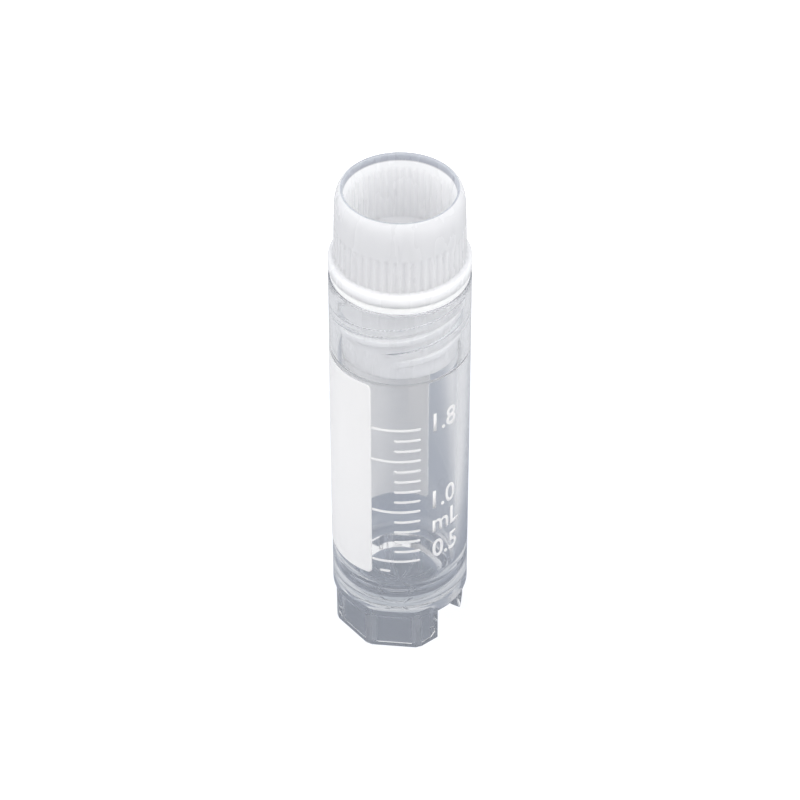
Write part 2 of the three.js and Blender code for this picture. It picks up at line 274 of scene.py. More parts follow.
def flute_wave(azimuth):
    """A wave from 0 on a ridge to 1 in the valley between two flutes: (1 - cos(n a)) / 2."""
    return 0.5 - 0.5 * np.cos(np.radians(FLUTE_COUNT * azimuth))


# ---------------------------------------------------------------- tube


def from_slot(azimuth):
    """Signed angle to the nearer end of the slot, from -90 to 90."""
    return (azimuth - SLOT_AZIMUTH + 90) % 180 - 90


def tube_columns(step=1.5):
    """Azimuths of the tube's columns, and which of them the slot of the foot cuts. Each edge of the
    slot has two columns in one place: one with the skirt, and one with it cut away."""
    plain = np.arange(0, 360, step)
    side = np.array([-SLOT_EDGE_ANGLE, SLOT_EDGE_ANGLE])
    edges = np.concatenate([SLOT_AZIMUTH + side, SLOT_AZIMUTH + 180 + side])
    towards = np.array([1, -1, 1, -1]) * 1e-4
    azimuth = np.concatenate([plain, edges])
    order = np.argsort(np.concatenate([plain, edges + towards]))
    in_slot = np.abs(from_slot(plain)) < SLOT_EDGE_ANGLE - 1e-6
    cut = np.concatenate([in_slot, np.full(edges.shape, True)])
    return azimuth[order], cut[order]


def beside_slot(azimuth, radius):
    """Azimuths moved so that the columns at the slot's edges stand on its straight walls, where the
    angle from its middle is asin(half the width / radius)."""
    off = from_slot(azimuth)
    edge = math.degrees(math.asin(SLOT_WIDTH / 2 / radius))
    moved = np.interp(np.abs(off), [0, SLOT_EDGE_ANGLE, SIDE_ANGLE, 90], [0, edge, SIDE_ANGLE, 90])
    return azimuth + np.sign(off) * moved - off


def foot_outline(azimuth, flat_distance):
    """Radius of an eight-sided wall: d / cos(angle from the middle of a side), with a narrow
    round land over each corner."""
    from_side = (azimuth - FOOT_CORNER_AZIMUTH) % SIDE_ANGLE - SIDE_ANGLE / 2
    land = math.cos(math.radians(SIDE_ANGLE / 2 - FOOT_LAND_HALF_ANGLE))
    return flat_distance / np.maximum(np.cos(np.radians(from_side)), land)


def foot_rows(azimuth, cut):
    """Rows of the skirt: down its inner wall, across its bottom edge and up its outer sides. Where
    the slot cuts it, every row lies level with the top of the slot."""
    outer_half = [(1 - share, height) for share, height in reversed(FOOT_HALF_SECTION)]
    rows = []
    for share, height in FOOT_HALF_SECTION + outer_half:
        flat_distance = FOOT_INNER_FLAT + (FOOT_FLAT_DISTANCE - FOOT_INNER_FLAT) * share
        moved = beside_slot(azimuth, flat_distance)
        radius = foot_outline(moved, flat_distance)
        rows.append(on_ring(radius, moved, np.where(cut, FOOT_HEIGHT, height)))
    return rows


def dome_profile():
    """Outside of the round bottom, from its lowest point to the ceiling of the foot's hollow."""
    outer = BORE_RADIUS + DOME_WALL
    ceiling = math.degrees(math.asin((FOOT_HEIGHT - DOME_CENTRE) / outer))
    profile = arc((0, DOME_CENTRE), outer, -90, ceiling, 15)
    profile[0, 0] = 0
    return profile


def side_profile():
    """Outside of the wall, from the ledge over the foot to the inner edge of the rim."""
    rim = TUBE_HEIGHT - RIM_ROUNDING
    ledge = 0.3 * LEDGE_ROUNDING
    return np.concatenate([
        [(TUBE_RADIUS - LEDGE_ROUNDING, FOOT_HEIGHT), (TUBE_RADIUS - ledge, FOOT_HEIGHT + ledge)],
        beside_edges(line((TUBE_RADIUS, FOOT_HEIGHT + LEDGE_ROUNDING), (TUBE_RADIUS, rim), 10)),
        arc((TUBE_RADIUS - RIM_ROUNDING, rim), RIM_ROUNDING, 30, 90, 3),
        arc((MOUTH_RADIUS + RIM_ROUNDING, rim), RIM_ROUNDING, 90, 150, 3),
    ])


def bore_profile():
    """Inside of the tube, from the sloping step under the mouth to the lowest point of the bore."""
    step_foot = MOUTH_FLOOR - MOUTH_STEP
    profile = np.concatenate([
        [(MOUTH_RADIUS, MOUTH_FLOOR + STEP_EDGE), (MOUTH_RADIUS - STEP_ROUNDING, MOUTH_FLOOR)],
        beside_edges(line((MOUTH_RADIUS - 2 * STEP_ROUNDING, MOUTH_FLOOR - STEP_ROUNDING),
                          (BORE_RADIUS + STEP_EDGE, step_foot + STEP_EDGE), 4)),
        beside_edges(line((BORE_RADIUS, step_foot), (BORE_RADIUS, DOME_CENTRE + 0.5), 8)),
        arc((0, DOME_CENTRE), BORE_RADIUS, 0, -90, 22),
    ])
    profile[-1, 0] = 0
    return profile


def moulded_tube():
    """The tube as one closed skin: outer round bottom, foot, wall, rim, threaded mouth and bore."""
    azimuth, cut = tube_columns()
    heights = np.arange(TUBE_HEIGHT - RIM_ROUNDING, MOUTH_FLOOR, -MOUTH_ROW_STEP)
    rows = lathe_rows(dome_profile(), azimuth)
    rows += foot_rows(azimuth, cut)
    rows += lathe_rows(side_profile(), azimuth)
    rows += threaded_wall(MOUTH_RADIUS, -MOUTH_RIDGE, MOUTH_THREAD, azimuth, heights)
    rows += lathe_rows(bore_profile(), azimuth)
    return turned_piece("moulded_tube", rows)


# ---------------------------------------------------------------- cap and sealing ring


def plug_profile():
    """The hollow of the plug, from its ceiling down to the outer edge of the plug's bottom."""
    deck, inner, outer = 0.3, 0.12, 0.25
    return np.concatenate([
        [(0, DECK_UNDERSIDE), (2.0, DECK_UNDERSIDE)],
        arc((PLUG_INNER_RADIUS - deck, DECK_UNDERSIDE - deck), deck, 90, 0, 4),
        line((PLUG_INNER_RADIUS, 40), (PLUG_INNER_RADIUS, PLUG_BOTTOM + 0.15), 5),
        arc((PLUG_INNER_RADIUS + inner, PLUG_BOTTOM + inner), inner, 210, 270, 3),
        arc((PLUG_RADIUS - outer, PLUG_BOTTOM + outer), outer, 270, 345, 4),
    ])


def flange_profile():
    """The flange, from the root of the plug to the foot of the head."""
    under, over = 0.12, 0.3
    return np.concatenate([
        [(PLUG_RADIUS, WASHER_TOP), (TUBE_RADIUS - under, WASHER_TOP)],
        arc((TUBE_RADIUS - under, WASHER_TOP + under), under, -60, 0, 3),
        arc((TUBE_RADIUS - over, FLANGE_TOP - over), over, 0, 90, 5),
        [(HEAD_BASE_RADIUS + HEAD_FOOT_CHAMFER, FLANGE_TOP)],
    ])


def grip_wall(azimuth):
    """Rows of the head's side: it tapers evenly, and flutes are sunk in its lower band."""
    shoulder_foot = HEAD_TOP - SHOULDER_HEIGHT
    heights = np.concatenate([
        line(FLANGE_TOP + HEAD_FOOT_CHAMFER, GRIP_BAND_TOP - GRIP_FADE - 0.1, 5),
        line(GRIP_BAND_TOP - GRIP_FADE, GRIP_BAND_TOP, 6),
        line(GRIP_BAND_TOP + 0.2, shoulder_foot, 3)])
    share = (heights - FLANGE_TOP) / (shoulder_foot - FLANGE_TOP)
    radius = HEAD_BASE_RADIUS + (HEAD_TOP_RADIUS - HEAD_BASE_RADIUS) * share
    band = 1 - smooth_step(heights, GRIP_BAND_TOP - GRIP_FADE, GRIP_BAND_TOP)
    sunk = GRIP_DEPTH * band[:, None] * flute_wave(azimuth)[None, :]
    return wall_rows(radius[:, None] - sunk, azimuth, heights)


def shoulder_profile():
    """The rounded top of the head, its crest, and the thin lip down to the lip's foot."""
    crest = 0.09
    return np.concatenate([
        arc((HEAD_TOP_RADIUS - SHOULDER_WIDTH, HEAD_TOP - SHOULDER_HEIGHT),
            (SHOULDER_WIDTH, SHOULDER_HEIGHT), 5, 90, 14),
        arc((LIP_RADIUS + crest, HEAD_TOP - crest), crest, 90, 180, 4),
        [(LIP_RADIUS, LIP_FOOT + 0.3), (LIP_RADIUS - 0.01, LIP_FOOT)],
    ])


def recess_wall(azimuth):
    """Rows of the recess: its ridges stand inwards, and fade out under the lip at its mouth."""
    heights = np.concatenate([
        line(LIP_FOOT - LEDGE_BELOW_LIP, LIP_FOOT - FULL_BELOW_LIP - 0.1, 6),
        line(LIP_FOOT - 1.5, RECESS_FLOOR + 0.4, 7)])
    band = 1 - smooth_step(heights, LIP_FOOT - FULL_BELOW_LIP, LIP_FOOT - LEDGE_BELOW_LIP)
    ridge = FLUTE_DEPTH * band[:, None] * (1 - flute_wave(azimuth))[None, :]
    draft = RECESS_DRAFT * smooth_step(heights, RECESS_FLOOR, HEAD_TOP)[:, None]
    return wall_rows(RECESS_RADIUS - RECESS_DRAFT + draft - ridge, azimuth, heights)


def recess_floor_profile():
    """The rounded corner and the level floor of the recess."""
    corner = 0.35
    return np.concatenate([
        arc((RECESS_RADIUS - corner - 0.13, RECESS_FLOOR + corner), corner, -25, -90, 5),
        [(3.0, RECESS_FLOOR), (0, RECESS_FLOOR)],
    ])


def moulded_cap():
    """The cap as one closed skin: hollow plug with its thread, flange, head, and open recess."""
    azimuth = np.arange(0, 360, 360 / (8 * FLUTE_COUNT))
    heights = np.arange(PLUG_BOTTOM + 0.3, WASHER_TOP - 0.05, PLUG_ROW_STEP)
    rows = lathe_rows(plug_profile(), azimuth)
    rows += threaded_wall(PLUG_RADIUS, PLUG_RIDGE, PLUG_THREAD, azimuth, heights)
    rows += lathe_rows(flange_profile(), azimuth)
    rows += grip_wall(azimuth)
    rows += lathe_rows(shoulder_profile(), azimuth)
    rows += recess_wall(azimuth)
    rows += lathe_rows(recess_floor_profile(), azimuth)
    return turned_piece("moulded_cap", rows)


def sealing_ring():
    """The soft ring: a rectangle with rounded corners carried round the axis."""
    inner, outer = RING_INNER_RADIUS + RING_ROUNDING, RING_OUTER_RADIUS - RING_ROUNDING
    low, high = TUBE_HEIGHT + RING_ROUNDING, WASHER_TOP - RING_ROUNDING
    corners = [(outer, low), (outer, high), (inner, high), (inner, low)]
    section = np.concatenate([arc(corner, RING_ROUNDING, 90 * turn - 90, 90 * turn, 5)
                              for turn, corner in enumerate(corners)])
    section = np.concatenate([section, section[:1]])
    return turned_piece("soft_sealing_ring", lathe_rows(section, np.arange(0, 360, 2.0)), 60)


# ---------------------------------------------------------------- printing


def fill_height(volume):
    """Height of the liquid for a volume in cubic millimetres: the round bottom, then the bore."""
    dome = 2 / 3 * math.pi * BORE_RADIUS ** 3
    return DOME_CENTRE + (volume - dome) / (math.pi * BORE_RADIUS ** 2)


def field_grid(first, last, bottom, top, corner):
    """Points of a printed field: a rectangle round the wall whose rows are drawn in at both ends by
    c - sqrt(c^2 - (c - d)^2), with d the distance to the nearer level edge, so its corners are
    round."""
    edge = corner * (1 - np.cos(np.linspace(0, math.pi / 2, 7)))
    heights = np.concatenate([bottom + edge, np.linspace(bottom + corner, top - corner, 6)[1:-1],
                              (top - edge)[::-1]])
    nearer = np.minimum(heights - bottom, top - heights)
    drawn_in = corner - np.sqrt(np.maximum(corner ** 2 - np.maximum(corner - nearer, 0) ** 2, 0))
    inset = np.degrees(drawn_in / TUBE_RADIUS)[:, None]
    columns = max(4, int(abs(last - first) / 2) + 1)
    share = np.linspace(0, 1, columns)[None, :]
    azimuth = first + inset + (last - first - 2 * inset) * share
    return on_ring(INK_RADIUS, azimuth, heights[:, None])


def line_grid(first, last, volume):
    """Points of one level line of the scale, at the height of a volume."""
    level = fill_height(volume)
    half = SCALE_LINE_WIDTH / 2
    return field_grid(first, last, level - half, level + half, SCALE_LINE_ROUNDING)


def ink_piece(name, parts):
    """Printed fields as one thin piece, from the points and faces of each."""
    starts = np.cumsum([0] + [len(points) for points, _ in parts])
    faces = np.concatenate([corners + start for (_, corners), start in zip(parts, starts)])
    piece = piece_of(name, np.concatenate([points for points, _ in parts]), faces, 60)
    skin = piece.modifiers.new("ink_thickness", "SOLIDIFY")
    skin.thickness = INK_THICKNESS * MM
    skin.offset = 0
    return piece


def printed(name, grids):
    """Printed grids as one thin piece."""
    return ink_piece(name, [(grid.reshape(-1, 3), lattice(*grid.shape[:2], closed=False))
                            for grid in grids])


def scale_lines():
    """A long line at each half millilitre and at the last, short ones between, one dash below."""
    grids = []
    for volume in SCALE_VOLUMES:
        long_line = volume % SCALE_LONG_STEP == 0 or volume == SCALE_VOLUMES[-1]
        first = SCALE_LONG_FIRST if long_line else SCALE_SHORT_FIRST
        grids.append(line_grid(first, SCALE_LAST, volume))
    grids.append(line_grid(*DASH_AZIMUTHS, DASH_VOLUME))
    return printed("scale_lines", grids)


def flat_text(words):
    """Points and triangles of plain upright figures in a plane, in millimetres, with their lower
    left corner at the origin. Upright planes cut them into strips so that they can bend."""
    curve = bpy.data.curves.new("figure", "FONT")
    curve.body = words
    curve.size = 1
    curve.offset = 0.012
    holder = bpy.data.objects.new("figure", curve)
    bpy.context.scene.collection.objects.link(holder)
    bpy.context.view_layer.update()
    shaped = holder.evaluated_get(bpy.context.evaluated_depsgraph_get())
    mesh = bpy.data.meshes.new_from_object(shaped)
    bpy.data.objects.remove(holder)
    work = bmesh.new()
    work.from_mesh(mesh)
    bmesh.ops.remove_doubles(work, verts=work.verts, dist=1e-5)
    right = max(v.co.x for v in work.verts)
    for cut in np.arange(FIGURE_STRIP, right, FIGURE_STRIP):
        whole = work.verts[:] + work.edges[:] + work.faces[:]
        bmesh.ops.bisect_plane(work, geom=whole, plane_co=(cut, 0, 0), plane_no=(1, 0, 0))
    bmesh.ops.triangulate(work, faces=work.faces)
    work.to_mesh(mesh)
    work.free()
    points = np.zeros(len(mesh.vertices) * 3)
    mesh.vertices.foreach_get("co", points)
    points = points.reshape(-1, 3)
    points -= points.min(axis=0)
    scale = FIGURE_HEIGHT / points[:, 1].max()
    corners = np.zeros(len(mesh.polygons) * 3, dtype=int)
    mesh.polygons.foreach_get("vertices", corners)
    return points[:, :2] * [scale * FIGURE_WIDTH_SHARE, scale], corners.reshape(-1, 3)


def scale_figures():
    """Figures bent round the wall: azimuth = first + x / r, height = baseline + y."""
    parts = []
    for words, volume, drop in FIGURES:
        flat, corners = flat_text(words)
        azimuth = FIGURE_AZIMUTH + np.degrees(flat[:, 0] / TUBE_RADIUS)
        baseline = fill_height(volume) - drop
        parts.append((on_ring(INK_RADIUS, azimuth, baseline + flat[:, 1]), corners))
    return ink_piece("scale_figures", parts)


# ---------------------------------------------------------------- nodes


def group_of(name, inputs, outputs):
    """An empty node group with named inputs, each with its starting value, and named outputs."""
    group = bpy.data.node_groups.new(name, "ShaderNodeTree")
    for label, kind, value in inputs:
        socket = group.interface.new_socket(name=label, in_out="INPUT", socket_type=kind)
        if value is not None:
            socket.default_value = value
    for label, kind in outputs:
        group.interface.new_socket(name=label, in_out="OUTPUT", socket_type=kind)
    start = group.nodes.new("NodeGroupInput")
    end = group.nodes.new("NodeGroupOutput")
    return group, start.outputs, end.inputs


def feed(tree, socket, value):
    """Links a socket from another one, or gives it a plain number or a red, green and blue."""
    if isinstance(value, bpy.types.NodeSocket):
        tree.links.new(value, socket)
    else:
        socket.default_value = (*value, 1) if isinstance(value, tuple) else value


def math_node(tree, operation, *given):
    """A Math node fed by sockets or plain numbers."""
    node = tree.nodes.new("ShaderNodeMath")
    node.operation = operation
    for socket, value in zip(node.inputs, given):
        feed(tree, socket, value)
    return node.outputs[0]


def colour_mix(tree, share, first, second, way="MIX"):
    """A mix of two colours, each a socket or a plain colour."""
    mix = tree.nodes.new("ShaderNodeMix")
    mix.data_type = "RGBA"
    mix.blend_type = way
    feed(tree, mix.inputs[0], share)
    feed(tree, mix.inputs[6], first)
    feed(tree, mix.inputs[7], second)
    return mix.outputs[2]


def smooth_mask(tree, value, low, high, first=0.0, last=1.0):
    """Goes from first to last along a smooth step while a socket goes from low to high."""
    step = tree.nodes.new("ShaderNodeMapRange")
    step.interpolation_type = "SMOOTHSTEP"
    step.inputs["From Min"].default_value = low
    step.inputs["From Max"].default_value = high
    step.inputs["To Min"].default_value = first
    step.inputs["To Max"].default_value = last
    tree.links.new(value, step.inputs["Value"])
    return step.outputs["Result"]


def object_place(tree):
    """The place of the shaded point on its object, in metres."""
    return tree.nodes.new("ShaderNodeTexCoord").outputs["Object"]


def place_parts(tree):
    """The X, Y and Z of the shaded point on its object, in metres."""
    parts = tree.nodes.new("ShaderNodeSeparateXYZ")
    tree.links.new(object_place(tree), parts.inputs[0])
    return parts.outputs


def height_of(tree, parts):
    """The height of the shaded point in millimetres."""
    return math_node(tree, "DIVIDE", parts["Z"], MM)


def distance_from_axis(tree, parts):
    """The distance sqrt(x^2 + y^2) of the shaded point from the vial's axis in millimetres."""
    across = math_node(tree, "POWER", parts["X"], 2.0)
    along = math_node(tree, "POWER", parts["Y"], 2.0)
    away = math_node(tree, "SQRT", math_node(tree, "ADD", across, along))
    return math_node(tree, "DIVIDE", away, MM)


def azimuth_of(tree, parts):
    """The azimuth atan2(x, -y) of the shaded point in degrees, from -180 to 180."""
    turn = math_node(tree, "ARCTAN2", parts["X"], math_node(tree, "MULTIPLY", parts["Y"], -1.0))
    return math_node(tree, "MULTIPLY", turn, 180 / math.pi)


# ---------------------------------------------------------------- materials


def moulded_skin_group():
    """Skin of moulded plastic: fine grain from the mould, faint upright draw marks, and slow
    changes of gloss."""
    group, given, out = group_of(
        "moulded_skin",
        [("Position", "NodeSocketVector", None), ("Grain", "NodeSocketFloat", 9000.0),
         ("Smoothest", "NodeSocketFloat", 0.05), ("Roughest", "NodeSocketFloat", 0.2),
         ("Draw Marks", "NodeSocketFloat", 0.3)],
        [("Roughness", "NodeSocketFloat"), ("Height", "NodeSocketFloat")])
    grain = group.nodes.new("ShaderNodeTexNoise")
    grain.inputs["Detail"].default_value = 4
    group.links.new(given["Position"], grain.inputs["Vector"])
    group.links.new(given["Grain"], grain.inputs["Scale"])
    stretch = group.nodes.new("ShaderNodeMapping")
    stretch.inputs["Scale"].default_value = (1, 1, MARK_STRETCH)
    group.links.new(given["Position"], stretch.inputs["Vector"])
    marks = group.nodes.new("ShaderNodeTexNoise")
    marks.inputs["Scale"].default_value = MARK_SCALE
    marks.inputs["Detail"].default_value = 3
    group.links.new(stretch.outputs["Vector"], marks.inputs["Vector"])
    patches = group.nodes.new("ShaderNodeTexNoise")
    patches.inputs["Scale"].default_value = GLOSS_PATCH_SCALE
    group.links.new(given["Position"], patches.inputs["Vector"])
    blend = group.nodes.new("ShaderNodeMapRange")
    mixed = math_node(group, "MULTIPLY", marks.outputs["Fac"], patches.outputs["Fac"])
    group.links.new(mixed, blend.inputs["Value"])
    blend.inputs["From Min"].default_value = GLOSS_PATCH_SPREAD[0]
    blend.inputs["From Max"].default_value = GLOSS_PATCH_SPREAD[1]
    group.links.new(given["Smoothest"], blend.inputs["To Min"])
    group.links.new(given["Roughest"], blend.inputs["To Max"])
    group.links.new(blend.outputs["Result"], out["Roughness"])
    drawn = math_node(group, "MULTIPLY", marks.outputs["Fac"], given["Draw Marks"])
    group.links.new(math_node(group, "ADD", grain.outputs["Fac"], drawn), out["Height"])


def tint_group():
    """Slow change between two close colours, as thickness and flow leave in moulded plastic."""
    group, given, out = group_of(
        "flow_tint",
        [("Position", "NodeSocketVector", None), ("Scale", "NodeSocketFloat", 140.0),
         ("Lighter", "NodeSocketColor", (1, 1, 1, 1)),
         ("Darker", "NodeSocketColor", (0.9, 0.9, 0.9, 1))],
        [("Color", "NodeSocketColor")])
    cloud = group.nodes.new("ShaderNodeTexNoise")
    cloud.inputs["Detail"].default_value = 2
    group.links.new(given["Position"], cloud.inputs["Vector"])
    group.links.new(given["Scale"], cloud.inputs["Scale"])
    colour = colour_mix(group, cloud.outputs["Fac"], given["Lighter"], given["Darker"])
    group.links.new(colour, out["Color"])


def placed_group(tree, name, values):
    """A node group placed in a material, fed with the place and with its own values."""
    node = tree.nodes.new("ShaderNodeGroup")
    node.node_tree = bpy.data.node_groups[name]
    tree.links.new(object_place(tree), node.inputs["Position"])
    for socket, value in values.items():
        feed(tree, node.inputs[socket], value)
    return node.outputs


def finish(name, lighter, darker, skin_values, bump, plain):
    """A material with the moulded skin and the flow tint; plain gives the shader's own values."""
    material = bpy.data.materials.new(name)
    material.use_nodes = True
    tree = material.node_tree
    shader = tree.nodes["Principled BSDF"]
    skin = placed_group(tree, "moulded_skin", skin_values)
    tint = placed_group(tree, "flow_tint", {"Lighter": lighter, "Darker": darker})
    relief = tree.nodes.new("ShaderNodeBump")
    relief.inputs["Strength"].default_value = bump
    relief.inputs["Distance"].default_value = RELIEF_DEPTH
    tree.links.new(skin["Height"], relief.inputs["Height"])
    tree.links.new(relief.outputs["Normal"], shader.inputs["Normal"])
    tree.links.new(skin["Roughness"], shader.inputs["Roughness"])
    tree.links.new(tint["Color"], shader.inputs["Base Color"])
    for socket, value in plain.items():
        shader.inputs[socket].default_value = value
    return material


def scattering(ior, depth):
    """Shader values of a white material in which light spreads to a depth in metres."""
    return {"IOR": ior, "Subsurface Weight": 1.0, "Subsurface Radius": (1.0, 1.0, 1.0),
            "Subsurface Scale": depth}


def paint_cap_light_and_shade(material):
    """Multiplies the cap's colour by painted light and shade: a grey for each stretch of its height,
    with the flange painted lighter as if lit and the plug and head darker. An inner colour, a
    painted shade on the lip's inner wall or painted light on the recess wall and floor, holds where
    the distance from the axis is less than its radius and the height lies between its two heights."""
    tree = material.node_tree
    shader = tree.nodes["Principled BSDF"]
    parts = place_parts(tree)
    height = height_of(tree, parts)
    away = distance_from_axis(tree, parts)
    ramp = tree.nodes.new("ShaderNodeValToRGB")
    stops = ramp.color_ramp.elements
    while len(stops) < len(CAP_PAINTED_LIGHT_AND_SHADE):
        stops.new(0.5)
    for stop, (level, painted_light_and_shade) in zip(stops, CAP_PAINTED_LIGHT_AND_SHADE):
        stop.position = level / PAINTED_SHADE_RAMP_TOP
        stop.color = (painted_light_and_shade, painted_light_and_shade, painted_light_and_shade, 1)
    tree.links.new(math_node(tree, "DIVIDE", height, PAINTED_SHADE_RAMP_TOP), ramp.inputs[0])
    painted_light_and_shade = ramp.outputs["Color"]
    for colour, radius, low, high in RECESS_PAINTED_LIGHT_AND_SHADE:
        level = math_node(tree, "MULTIPLY", math_node(tree, "GREATER_THAN", height, low),
                          math_node(tree, "LESS_THAN", height, high))
        within = math_node(tree, "LESS_THAN", away, radius)
        painted_light_and_shade = colour_mix(tree, math_node(tree, "MULTIPLY", within, level), painted_light_and_shade, colour)
    base = shader.inputs["Base Color"].links[0].from_socket
    tree.links.new(colour_mix(tree, 1.0, base, painted_light_and_shade, "MULTIPLY"), shader.inputs["Base Color"])


def frosted_corners(material, roughness):
    """Roughens the corners of the foot. The angle from the nearest corner is
    |(a - first corner + 22.5) mod 45 - 22.5| degrees, with a the azimuth of the point. Ten whole
    sides are added, so that the modulo is never taken of a negative angle."""
    tree = material.node_tree
    shader = tree.nodes["Principled BSDF"]
    parts = place_parts(tree)
    shift = 10 * SIDE_ANGLE + SIDE_ANGLE / 2 - FOOT_CORNER_AZIMUTH
    shifted = math_node(tree, "ADD", azimuth_of(tree, parts), shift)
    turned = math_node(tree, "MODULO", shifted, SIDE_ANGLE)
    within = math_node(tree, "SUBTRACT", turned, SIDE_ANGLE / 2)
    corner = smooth_mask(tree, math_node(tree, "ABSOLUTE", within), *CORNER_FROST_ANGLES)
    low = math_node(tree, "LESS_THAN", height_of(tree, parts), CORNER_FROST_TOP)
    rough = math_node(tree, "MULTIPLY", math_node(tree, "MULTIPLY", corner, low), roughness)
    plain = shader.inputs["Roughness"].links[0].from_socket
    tree.links.new(math_node(tree, "MAXIMUM", plain, rough), shader.inputs["Roughness"])


def absorbing(material, density, colour):
    """Darkens a clear material with the depth of plastic that light crosses."""
    tree = material.node_tree
    depth = tree.nodes.new("ShaderNodeVolumeAbsorption")
    depth.inputs["Density"].default_value = density
    depth.inputs["Color"].default_value = (*colour, 1)
    tree.links.new(depth.outputs["Volume"], tree.nodes["Material Output"].inputs["Volume"])


def on_mouth_step(tree):
    """1 on the sloping step between the mouth and the bore, 0 elsewhere."""
    parts = place_parts(tree)
    middle = MOUTH_FLOOR - MOUTH_STEP / 2
    off = math_node(tree, "ABSOLUTE", math_node(tree, "SUBTRACT", height_of(tree, parts), middle))
    near = math_node(tree, "LESS_THAN", off, MOUTH_STEP / 2 + OPEN_STEP_MARGIN)
    inside = math_node(tree, "LESS_THAN", distance_from_axis(tree, parts), OPEN_STEP_RADIUS)
    return math_node(tree, "MULTIPLY", near, inside)


def open_to_lamps(material, tint):
    """Lets some light straight through a clear wall, with the tint of one of its faces: light on its
    way from lamps and pale surfaces to what is behind the wall, light caught in the wall for longer
    than the longest way, which would end black, and light at the sloping step under the mouth."""
    tree = material.node_tree
    path = tree.nodes.new("ShaderNodeLightPath").outputs
    clear = tree.nodes.new("ShaderNodeBsdfTransparent")
    clear.inputs["Color"].default_value = (*tint, 1)
    mix = tree.nodes.new("ShaderNodeMixShader")
    straight = math_node(tree, "MAXIMUM", path["Is Shadow Ray"], path["Is Diffuse Ray"])
    caught = math_node(tree, "GREATER_THAN", path["Ray Depth"], LONGEST_WAY)
    open_ways = math_node(tree, "MAXIMUM", straight, caught)
    tree.links.new(math_node(tree, "MAXIMUM", open_ways, on_mouth_step(tree)), mix.inputs[0])
    tree.links.new(tree.nodes["Principled BSDF"].outputs[0], mix.inputs[1])
    tree.links.new(clear.outputs[0], mix.inputs[2])
    tree.links.new(mix.outputs[0], tree.nodes["Material Output"].inputs["Surface"])


# ---------------------------------------------------------------- stage


def pale_world(behind, through_clear):
    """White where it is seen. Elsewhere an even light that is white in front and above, and fades to
    a greyer colour behind: a smooth step of the direction's share along the way to the brightest.
    Only a share of the white shows through clear plastic."""
    world = bpy.data.worlds.new("studio_air")
    bpy.context.scene.world = world
    world.use_nodes = True
    tree = world.node_tree
    path = tree.nodes.new("ShaderNodeLightPath").outputs
    along = tree.nodes.new("ShaderNodeVectorMath")
    along.operation = "DOT_PRODUCT"
    along.inputs[1].default_value = BRIGHTEST_WAY
    tree.links.new(tree.nodes.new("ShaderNodeTexCoord").outputs["Generated"], along.inputs[0])
    front = smooth_mask(tree, along.outputs["Value"], *WORLD_FADE)
    lost = math_node(tree, "MULTIPLY", path["Is Transmission Ray"], 1 - through_clear)
    white = math_node(tree, "MULTIPLY", front, math_node(tree, "SUBTRACT", 1.0, lost))
    share = math_node(tree, "MAXIMUM", white, path["Is Camera Ray"])
    sky = colour_mix(tree, share, behind, (1.0, 1.0, 1.0))
    tree.links.new(sky, tree.nodes["Background"].inputs["Color"])


def seen_rays(tree, in_gloss, through_clear):
    """1 for camera rays, and shares of it for glossy and transmission rays."""
    path = tree.nodes.new("ShaderNodeLightPath").outputs
    gloss = math_node(tree, "MULTIPLY", path["Is Glossy Ray"], in_gloss)
    clear = math_node(tree, "MULTIPLY", path["Is Transmission Ray"], through_clear)
    indirect = math_node(tree, "MAXIMUM", gloss, clear)
    return math_node(tree, "MAXIMUM", indirect, path["Is Camera Ray"])


def floor_share(tree, depth_scale, distances, first, last):
    """Goes from first to last along a smooth step of the distance from the middle of the floor,
    between two distances. Depth counts for depth_scale of what width counts for."""
    place = tree.nodes.new("ShaderNodeMapping")
    place.inputs["Scale"].default_value = (1, depth_scale, 1)
    tree.links.new(object_place(tree), place.inputs["Vector"])
    length = tree.nodes.new("ShaderNodeVectorMath")
    length.operation = "LENGTH"
    tree.links.new(place.outputs["Vector"], length.inputs[0])
    return smooth_mask(tree, length.outputs["Value"], *distances, first, last)


def floor_with_painted_shadow(near, far, lift, in_gloss, through_clear):
    """A dull floor with a painted shadow, darker under and behind the vial and paler to its sides,
    and lifted towards white where it is seen."""
    material = bpy.data.materials.new("studio_floor")
    material.use_nodes = True
    tree = material.node_tree
    shader = tree.nodes["Principled BSDF"]
    under = floor_share(tree, 1.0, SHADOW_PAINT_DISTANCES, SHADOW_PAINT_SHARE, 1.0)
    beside_painted_shadow = floor_share(tree, SHADOW_PAINT_DEPTH_SCALE, SHADOW_PAINT_SIDE_DISTANCES, 0.0, 1.0)
    colour = colour_mix(tree, beside_painted_shadow, colour_mix(tree, under, (0.0, 0.0, 0.0), near), far)
    tree.links.new(colour, shader.inputs["Base Color"])
    shader.inputs["Roughness"].default_value = 1.0
    shader.inputs["Specular IOR Level"].default_value = 0.0
    shader.inputs["Emission Color"].default_value = (1, 1, 1, 1)
    lifted = math_node(tree, "MULTIPLY", seen_rays(tree, in_gloss, through_clear), lift)
    tree.links.new(lifted, shader.inputs["Emission Strength"])
    return material


def wide_floor(material):
    """A wide level floor."""
    mesh = bpy.data.meshes.new("studio_floor")
    size = FLOOR_HALF_SIZE
    corners = [(-size, -size, 0), (size, -size, 0), (size, size, 0), (-size, size, 0)]
    mesh.from_pydata(corners, [], [(0, 1, 2, 3)])
    mesh.materials.append(material)
    floor = bpy.data.objects.new("studio_floor", mesh)
    bpy.context.scene.collection.objects.link(floor)


